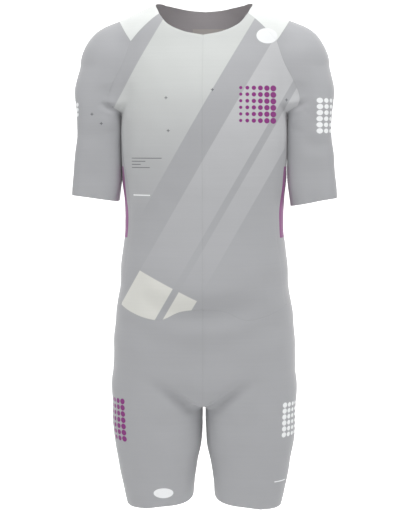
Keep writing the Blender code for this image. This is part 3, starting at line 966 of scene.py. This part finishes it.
class SuitColours(bpy.types.PropertyGroup):
    grey: colour_property("Grey", "Main knit", 176, 177, 180)
    # Band: the lighter grey of the upper chest and the sleeve tops, painted top light.
    band: colour_property("Band", "Knit between the stripes", 182, 183, 186)
    pale: colour_property("Off-white", "Upper chest", 212, 215, 213)
    # The off-white lower down: partly the print's fade, partly painted shade under the chest.
    pale_low_shaded: colour_property("Off-white, low", "The same stripe lower down", 208, 210, 209)
    second: colour_property("Pale grey", "Second stripe", 199, 200, 202)
    cream: colour_property("Cream", "Hip stripe", 226, 226, 220)
    yoke: colour_property("Yoke", "Shoulder pieces", 238, 241, 239)
    purple: colour_property("Purple", "Printed marks and side strips", 140, 48, 128)
    mark_white: colour_property("White", "Printed marks", 251, 253, 254)
    ink: colour_property("Ink", "Small printed marks", 78, 80, 86)
    lining: colour_property("Inner face", "Unprinted face of the knit", 228, 224, 226)
    lining_patch: colour_property("Inner patch", "Paler patch inside the neck", 248, 243, 238)


CUTS = {}


def cut():
    """The cut at the fineness asked for, worked out once."""
    fine = bpy.context.scene.suit_sizes.fine
    if fine not in CUTS:
        CUTS[fine] = Cut(fine)
    return CUTS[fine]


SIDES = (("right", -1), ("left", 1))


def both_sides(name, piece, part, finish):
    for suffix, side in SIDES:
        cloth(name + suffix, piece, part, side, finish)


class SUIT_OT_fronts(bpy.types.Operator):
    """Makes the two front panels"""

    bl_idname = "suit.fronts"
    bl_label = "Fronts"

    def execute(self, context):
        finish = knit_shader("printed front knit", front_colour)
        both_sides("front_", cut().front(), "trunk", finish)
        return {"FINISHED"}


class SUIT_OT_flanks(bpy.types.Operator):
    """Makes the side panels"""

    bl_idname = "suit.flanks"
    bl_label = "Side panels"

    def execute(self, context):
        finish = knit_shader("side knit", side_colour)
        both_sides("side_", cut().flank(), "trunk", finish)
        return {"FINISHED"}


class SUIT_OT_back(bpy.types.Operator):
    """Makes the back"""

    bl_idname = "suit.back"
    bl_label = "Back"

    def execute(self, context):
        cloth("back", cut().back(), "trunk", 1, knit_shader("back knit", back_colour))
        return {"FINISHED"}


class SUIT_OT_yokes(bpy.types.Operator):
    """Makes the shoulder yokes"""

    bl_idname = "suit.yokes"
    bl_label = "Yokes"

    def execute(self, context):
        finish = knit_shader("yoke knit", yoke_colour)
        both_sides("yoke_", cut().yoke(), "whole", finish)
        return {"FINISHED"}


class SUIT_OT_sleeves(bpy.types.Operator):
    """Makes the sleeves, each with its own cuff height"""

    bl_idname = "suit.sleeves"
    bl_label = "Sleeves"

    def execute(self, context):
        finish = knit_shader("sleeve knit", sleeve_colour)
        for name, side in SIDES:
            cloth("sleeve_" + name, cut().sleeve(CUFFS[name]), "arm", side, finish)
        return {"FINISHED"}


class SUIT_OT_legs(bpy.types.Operator):
    """Makes the legs"""

    bl_idname = "suit.legs"
    bl_label = "Legs"

    def execute(self, context):
        finish = knit_shader("leg knit", leg_colour)
        both_sides("leg_", cut().leg(), "trunk", finish)
        return {"FINISHED"}


def aimed(obj, target):
    """Turns a camera or light to look from its place at the target."""
    direction = np.array(target) - np.array(obj.location)
    flat = math.hypot(direction[0], direction[1])
    rise, turn = math.atan2(direction[2], flat), math.atan2(-direction[0], direction[1])
    obj.rotation_euler = (math.pi / 2 + rise, 0, turn)


# The soft lights, all aimed at LIT_PLACE: name, place, width and height, and watts.
LIGHTS = (
    ("key", (0.25, -1.4, 2.1), (1.4, 1.4), 38),
    ("front fill", (0.0, -2.7, -0.2), (1.6, 1.6), 7),
    ("top", (0.2, 0.2, 1.9), (2.0, 2.0), 14),
    ("behind", (0.0, 2.2, 0.6), (2.4, 1.2), 8),
    ("left side", (2.2, -0.8, 0.1), (1.2, 1.8), 5),
    ("right side", (-2.2, -0.8, 0.1), (1.2, 1.8), 6),
)
LIT_PLACE = (0.0, 0.0, -0.42)
WORLD_STRENGTH = 0.38

# The floor is flat up to SWEEP_START behind the suit, rises in a quarter circle and goes on upright.
SWEEP_START = 2.4
SWEEP_RADIUS = 1.2
SWEEP_TOP = 6.0
FLOOR_REACH = 5.0
FLOOR_HALF = 6.0


def softbox(name, place, size, power):
    light = bpy.data.lights.new(name, "AREA")
    light.shape = "RECTANGLE"
    light.size, light.size_y = size
    light.energy = power
    made = linked(name, light)
    made.location = place
    aimed(made, LIT_PLACE)


# The camera is at chest height, a little to the wearer's left, and looks down. The shift frames the legs.
CAMERA_AZIMUTH = math.radians(2)
CAMERA_TILT = math.radians(2.72)
CAMERA_DISTANCE = 2.3
CAMERA_HEIGHT = -0.272
CAMERA_LENS = 85
CAMERA_SHIFT = (0.0063, -0.1)


def lay_floor(level):
    """A pale sheet, level, then curved up behind. It glows only there, so it lights no leg from below."""
    turn = np.linspace(0, np.pi / 2, 17)
    depth = np.r_[-FLOOR_REACH, SWEEP_START + SWEEP_RADIUS * np.sin(turn), SWEEP_START + SWEEP_RADIUS]
    height = np.r_[level, level + SWEEP_RADIUS * (1 - np.cos(turn)), level + SWEEP_TOP]
    points = np.array([(x, y, z) for x in (-FLOOR_HALF, FLOOR_HALF) for y, z in zip(depth, height)])
    count = len(depth)
    low = np.arange(count - 1)
    faces = np.column_stack((low, low + count, low + count + 1, low + 1))
    mesh = bpy.data.meshes.new("floor")
    mesh.from_pydata(points.tolist(), [], faces.tolist())
    mesh.shade_smooth()
    shader = Shader("pale floor")
    shader.surface.inputs["Base Color"].default_value = (0.92, 0.92, 0.92, 1)
    shader.surface.inputs["Roughness"].default_value = 0.9
    _, behind, _ = shader.place()
    shader.feed(shader.surface.inputs["Emission Color"], shader.grey(behind.above(0.55, 0.6)))
    shader.surface.inputs["Emission Strength"].default_value = 0.6
    mesh.materials.append(shader.material)
    linked("floor", mesh)


def light_world():
    world = bpy.data.worlds.new("soft white")
    world.use_nodes = True
    background = world.node_tree.nodes["Background"]
    background.inputs[0].default_value = (1, 1, 1, 1)
    background.inputs[1].default_value = WORLD_STRENGTH
    bpy.context.scene.world = world


def place_camera():
    camera = bpy.data.cameras.new("camera")
    camera.lens = CAMERA_LENS
    camera.clip_start, camera.clip_end = 0.05, 60
    camera.shift_x, camera.shift_y = CAMERA_SHIFT
    viewer = linked("camera", camera)
    across, back = math.sin(CAMERA_AZIMUTH), math.cos(CAMERA_AZIMUTH)
    viewer.location = (across * CAMERA_DISTANCE, -back * CAMERA_DISTANCE, CAMERA_HEIGHT)
    aimed(viewer, (0, 0, CAMERA_HEIGHT - CAMERA_DISTANCE * math.tan(CAMERA_TILT)))
    bpy.context.scene.camera = viewer


class SUIT_OT_stage(bpy.types.Operator):
    """Makes the pale floor that curves up behind, the soft lights and the camera"""

    bl_idname = "suit.stage"
    bl_label = "Stage"

    def execute(self, context):
        lay_floor(context.scene.suit_sizes.floor_height)
        light_world()
        for light in LIGHTS:
            softbox(*light)
        place_camera()
        context.scene.view_settings.view_transform = "Standard"
        return {"FINISHED"}


class SUIT_PT_panel(bpy.types.Panel):
    bl_idname = "SUIT_PT_panel"
    bl_label = "Speed suit"
    bl_space_type = "VIEW_3D"
    bl_region_type = "UI"
    bl_category = "Speed suit"

    def draw(self, context):
        for group in (context.scene.suit_sizes, context.scene.suit_colours):
            box = self.layout.box()
            for key in group.__annotations__:
                box.prop(group, key)
        for operator in OPERATORS:
            self.layout.operator(operator.bl_idname)


PANELS = SUIT_OT_fronts, SUIT_OT_flanks, SUIT_OT_back, SUIT_OT_yokes, SUIT_OT_sleeves, SUIT_OT_legs
OPERATORS = (SUIT_OT_stage, *PANELS)
CLASSES = (SuitSizes, SuitColours, *OPERATORS, SUIT_PT_panel)


def register():
    for cls in CLASSES:
        bpy.utils.register_class(cls)
    bpy.types.Scene.suit_sizes = PointerProperty(type=SuitSizes)
    bpy.types.Scene.suit_colours = PointerProperty(type=SuitColours)


def unregister():
    del bpy.types.Scene.suit_sizes, bpy.types.Scene.suit_colours
    for cls in reversed(CLASSES):
        bpy.utils.unregister_class(cls)


def main():
    register()
    for operator in OPERATORS:
        getattr(bpy.ops.suit, operator.bl_idname.split(".")[1])()


if __name__ == "__main__":
    main()
